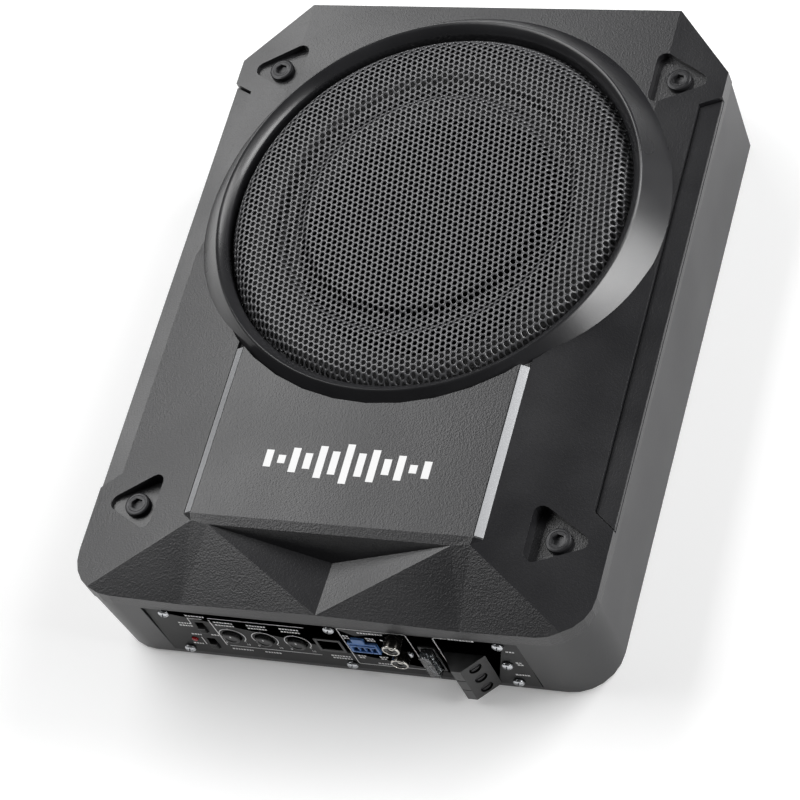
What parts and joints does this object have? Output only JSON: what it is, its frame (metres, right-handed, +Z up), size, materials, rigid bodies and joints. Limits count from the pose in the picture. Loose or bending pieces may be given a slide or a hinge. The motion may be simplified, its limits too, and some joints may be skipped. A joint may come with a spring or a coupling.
{
  "type": "powered car subwoofer",
  "caption": "Flat under-seat active bass speaker: ring-framed round perforated grille on a faceted black case, with rotary controls, sockets and power terminals on one end.",
  "frame": {"origin": "ground point under the middle of the overall outline", "axes": "+X across the case, -Y towards the control end, +Z up through the grille"},
  "size_m": [0.25, 0.3384, 0.0724],
  "materials": {
    "textured_black": "moulded fine grain",
    "satin_black_metal": "cast and satin black powder coated",
    "satin_black": "satin",
    "panel_black": "satin black with white print",
    "silver_paint": "silver paint",
    "perforated_steel": "gloss black powder coat",
    "black_bolt": "black oxide",
    "zinc_steel": "bright zinc",
    "nickel": "nickel plated",
    "pressed_steel": "black paint",
    "rubber": "matte",
    "cone_paper": "coated paper pulp",
    "spider_cloth": "resin treated cloth",
    "ferrite": "sintered ferrite",
    "copper": "enamelled copper wire",
    "board": "glass fibre laminate",
    "aluminium": "extruded",
    "black_plastic": "moulded",
    "blue_plastic": "moulded",
    "clear_plastic": "clear moulded body",
    "red_lens": "red lens"
  },
  "bodies": {
    "enclosure": {"top_cover": "textured_black", "lower_housing": "satin_black_metal", "grille_ring": "satin_black", "side_trim_left": "satin_black", "side_trim_right": "satin_black", "control_panel": "panel_black", "accent_strip_left": "silver_paint", "accent_strip_right": "silver_paint", "grille_mesh": "perforated_steel", "corner_bolt_front_left": "black_bolt", "corner_bolt_front_right": "black_bolt", "corner_bolt_back_left": "black_bolt", "corner_bolt_back_right": "black_bolt", "panel_screw_1": "zinc_steel", "panel_screw_2": "zinc_steel", "panel_screw_3": "zinc_steel", "panel_screw_4": "zinc_steel", "panel_screw_5": "zinc_steel", "panel_screw_6": "zinc_steel", "front_plate": "zinc_steel", "back_plate": "zinc_steel", "phono_jack_left": "nickel", "phono_jack_right": "nickel", "woofer_basket": "pressed_steel", "rubber_surround": "rubber", "rubber_foot_front_left": "rubber", "rubber_foot_front_right": "rubber", "rubber_foot_back_left": "rubber", "rubber_foot_back_right": "rubber", "spider": "spider_cloth", "ring_magnet": "ferrite", "toroid_transformer": "copper", "circuit_board": "board", "heat_spreader": "aluminium", "capacitor_1": "black_plastic", "capacitor_2": "black_plastic", "pot_body_low_pass": "black_plastic", "pot_body_bass_boost": "black_plastic", "pot_body_gain": "black_plastic", "switch_body_phase": "black_plastic", "switch_body_mode": "black_plastic", "remote_socket": "black_plastic", "fuse_holder": "black_plastic", "power_terminal": "black_plastic", "speaker_socket": "blue_plastic", "power_light": "red_lens"},
    "low_pass_knob": {"knob_low_pass": "black_plastic"},
    "bass_boost_knob": {"knob_bass_boost": "black_plastic"},
    "gain_knob": {"knob_gain": "black_plastic"},
    "phase_slider": {"switch_slider_phase": "black_plastic"},
    "mode_slider": {"switch_slider_mode": "black_plastic"},
    "diaphragm": {"woofer_cone": "cone_paper", "dust_cap": "cone_paper", "voice_coil": "copper"},
    "fuse": {"blade_fuse": "clear_plastic"},
    "terminal_screw_low": {"terminal_screw_1": "zinc_steel"},
    "terminal_screw_mid": {"terminal_screw_2": "zinc_steel"},
    "terminal_screw_high": {"terminal_screw_3": "zinc_steel"}
  },
  "joints": [
    {"name": "low_pass_turn", "type": "hinge", "parent": "enclosure", "child": "low_pass_knob", "pos_m": [-0.0535, -0.1597, 0.025], "axis": [0, -1, 0], "range_deg": [-135, 135]},
    {"name": "bass_boost_turn", "type": "hinge", "parent": "enclosure", "child": "bass_boost_knob", "pos_m": [-0.0372, -0.1597, 0.025], "axis": [0, -1, 0], "range_deg": [-135, 135]},
    {"name": "gain_turn", "type": "hinge", "parent": "enclosure", "child": "gain_knob", "pos_m": [-0.0209, -0.1597, 0.025], "axis": [0, -1, 0], "range_deg": [-135, 135]},
    {"name": "phase_slide", "type": "slide", "parent": "enclosure", "child": "phase_slider", "axis": [0, 0, 1], "range_m": [0, 0.0036]},
    {"name": "mode_slide", "type": "slide", "parent": "enclosure", "child": "mode_slider", "axis": [0, 0, 1], "range_m": [0, 0.0036]},
    {"name": "diaphragm_travel", "type": "slide", "parent": "enclosure", "child": "diaphragm", "axis": [0, 0, 1], "range_m": [-0.0045, 0.0045], "stiffness_N_per_m": 3000, "deforming": ["rubber_surround", "spider"]},
    {"name": "fuse_pull", "type": "slide", "parent": "enclosure", "child": "fuse", "axis": [0, -1, 0], "range_m": [0, 0.0075]},
    {"name": "terminal_low_turn", "type": "hinge", "parent": "enclosure", "child": "terminal_screw_low", "pos_m": [0.06695, -0.1646, 0.0095], "axis": [0.7033, -0.7109, 0], "continuous": true},
    {"name": "terminal_mid_turn", "type": "hinge", "parent": "enclosure", "child": "terminal_screw_mid", "pos_m": [0.06695, -0.1646, 0.0185], "axis": [0.7033, -0.7109, 0], "continuous": true},
    {"name": "terminal_high_turn", "type": "hinge", "parent": "enclosure", "child": "terminal_screw_high", "pos_m": [0.06695, -0.1646, 0.0275], "axis": [0.7033, -0.7109, 0], "continuous": true}
  ]
}
